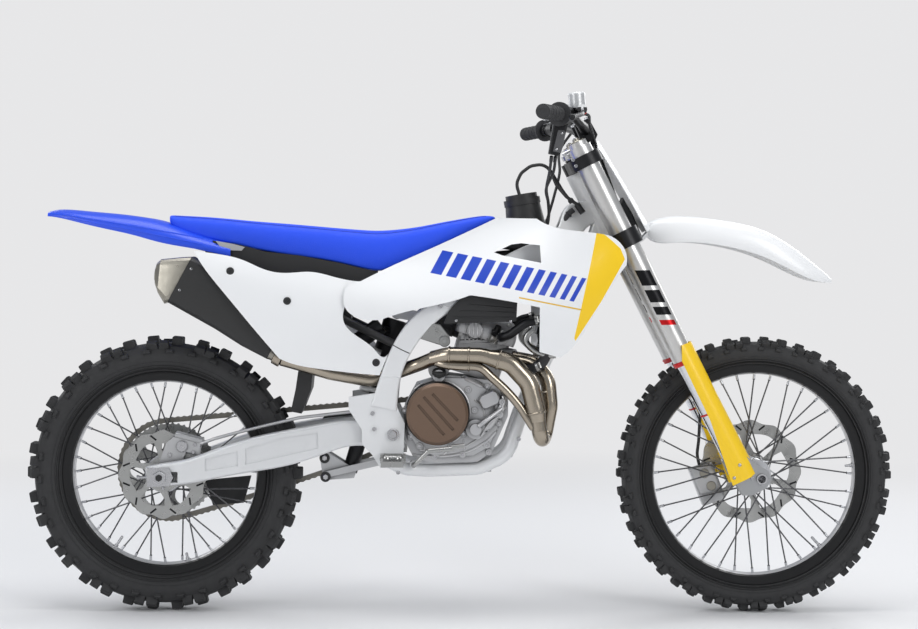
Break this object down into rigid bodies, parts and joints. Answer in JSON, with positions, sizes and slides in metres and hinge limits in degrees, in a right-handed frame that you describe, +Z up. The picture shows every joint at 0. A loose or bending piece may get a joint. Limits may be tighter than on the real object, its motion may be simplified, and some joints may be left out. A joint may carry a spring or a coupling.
{
  "type": "motocross bike",
  "caption": "Full-size off-road motocross motorcycle with knobbly wire-spoked wheels, upside-down fork, turning steering, swingarm rear and folding footpegs.",
  "frame": {"origin": "on the top of the seat at its lowest place, in the bike's middle plane, where the rider sits", "axes": "+X forward, towards the front wheel; +Y to the left; +Z up"},
  "size_m": [2.1788, 0.8194, 1.283],
  "materials": {
    "tyre_rubber": "matt",
    "rim_black": "satin",
    "hub_silver": "satin",
    "disc_steel": "brushed",
    "axle_steel": "brushed",
    "tube_chrome": "polished",
    "tube_silver": "satin",
    "seal_red": "satin",
    "plastic_yellow": "gloss",
    "clamp_black": "satin anodised",
    "bar_black": "satin",
    "grip_rubber": "matt",
    "control_black": "satin",
    "plastic_white": "gloss",
    "plastic_blue": "gloss",
    "seat_blue": "matt",
    "frame_silver": "satin",
    "subframe_black": "satin",
    "arm_silver": "satin",
    "spring_white": "gloss",
    "shock_dark": "satin",
    "case_grey": "satin",
    "cover_bronze": "satin",
    "header_titanium": "heat tinted",
    "silencer_black": "satin",
    "cap_titanium": "satin",
    "radiator_black": "matt",
    "plastic_black": "matt",
    "chain_steel": "satin",
    "lever_steel": "satin"
  },
  "bodies": {
    "steering": {"front_axle": "axle_steel", "fork_legs": "tube_chrome", "fork_tubes": "tube_silver", "fork_seals": "seal_red", "fork_guards": "plastic_yellow", "front_caliper": "control_black", "front_brake_hose": "grip_rubber", "lower_clamp": "clamp_black", "upper_clamp": "clamp_black", "handlebar": "bar_black", "grips": "grip_rubber", "right_controls": "control_black", "left_controls": "control_black", "front_fender": "plastic_white", "number_plate": "plastic_white"},
    "front_wheel": {"front_tyre": "tyre_rubber", "front_rim": "rim_black", "front_hub": "hub_silver", "front_disc": "disc_steel"},
    "rear_wheel": {"rear_tyre": "tyre_rubber", "rear_rim": "rim_black", "rear_hub": "hub_silver", "rear_disc": "disc_steel", "rear_sprocket": "disc_steel"},
    "right_peg": {"right_footpeg": "lever_steel"},
    "left_peg": {"left_footpeg": "lever_steel"},
    "chassis": {"frame": "frame_silver", "subframe": "subframe_black", "swingarm": "arm_silver", "rear_axle": "axle_steel", "shock": "shock_dark", "shock_spring": "spring_white", "linkage": "axle_steel", "engine_cases": "case_grey", "cylinder_head": "case_grey", "clutch_cover": "cover_bronze", "exhaust_header": "header_titanium", "silencer": "silencer_black", "silencer_cap": "cap_titanium", "radiators": "radiator_black", "fuel_tank": "plastic_black", "fuel_cap": "plastic_black", "right_shroud": "plastic_white", "left_shroud": "plastic_white", "right_side_panel": "plastic_white", "left_side_panel": "plastic_white", "rear_fender": "plastic_blue", "seat": "seat_blue", "airbox": "plastic_black", "chain": "chain_steel", "front_sprocket": "disc_steel", "chain_guides": "plastic_black", "rear_caliper": "control_black", "foot_levers": "lever_steel", "peg_mounts": "axle_steel", "control_cables": "grip_rubber"}
  },
  "joints": [
    {"name": "steering_turn", "type": "hinge", "parent": "chassis", "child": "steering", "pos_m": [0.88967, 0, -0.63686], "axis": [-0.4493, 0, 0.8934], "range_deg": [-42, 42], "deforming": ["control_cables"]},
    {"name": "front_spin", "type": "hinge", "parent": "steering", "child": "front_wheel", "pos_m": [0.94505, 0, -0.609], "axis": [0, 1, 0], "continuous": true},
    {"name": "rear_spin", "type": "hinge", "parent": "chassis", "child": "rear_wheel", "pos_m": [-0.53995, 0, -0.611], "axis": [0, 1, 0], "continuous": true},
    {"name": "right_peg_fold", "type": "hinge", "parent": "chassis", "child": "right_peg", "pos_m": [0.03475, -0.144, -0.561], "axis": [-1, 0, 0], "range_deg": [0, 55], "stiffness_Nm_per_rad": 2, "springref_deg": -17.19},
    {"name": "left_peg_fold", "type": "hinge", "parent": "chassis", "child": "left_peg", "pos_m": [0.03475, 0.144, -0.561], "axis": [1, 0, 0], "range_deg": [0, 55], "stiffness_Nm_per_rad": 2, "springref_deg": -17.19}
  ]
}
